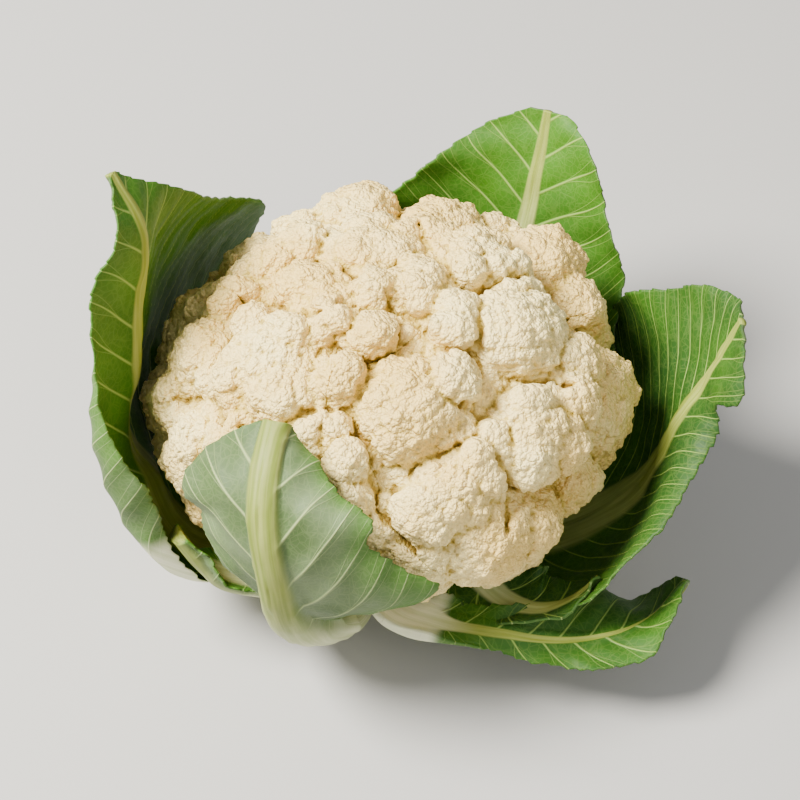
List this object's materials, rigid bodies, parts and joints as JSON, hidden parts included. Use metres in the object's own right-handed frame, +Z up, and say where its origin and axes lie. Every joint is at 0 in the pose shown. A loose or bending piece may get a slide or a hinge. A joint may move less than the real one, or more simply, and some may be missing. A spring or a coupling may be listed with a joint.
{
  "type": "cauliflower",
  "caption": "Whole cauliflower head: a knobbly cream curd of florets on a short cut stalk, wrapped in trimmed green leaves.",
  "frame": {"origin": "centre of the stalk's cut face, which the head stands on", "axes": "+Z up through the stalk and the head, -Y towards the front, where the cut front leaf is"},
  "size_m": [0.2115, 0.1897, 0.1668],
  "materials": {
    "curd": "matte, finely granular florets",
    "stalk": "satin, cut flat",
    "leaf": "satin leaf with pale veins, ribs and stalk"
  },
  "bodies": {
    "root": {"curd": "curd", "stalk": "stalk", "leaf_front": "leaf", "leaf_left": "leaf", "leaf_right": "leaf", "leaf_low_right": "leaf", "leaf_back_right": "leaf", "leaf_inner_left": "leaf", "leaf_inner_right": "leaf", "leaf_back": "leaf", "leaf_stub_right": "leaf", "leaf_stub_back_left": "leaf"}
  },
  "joints": []
}
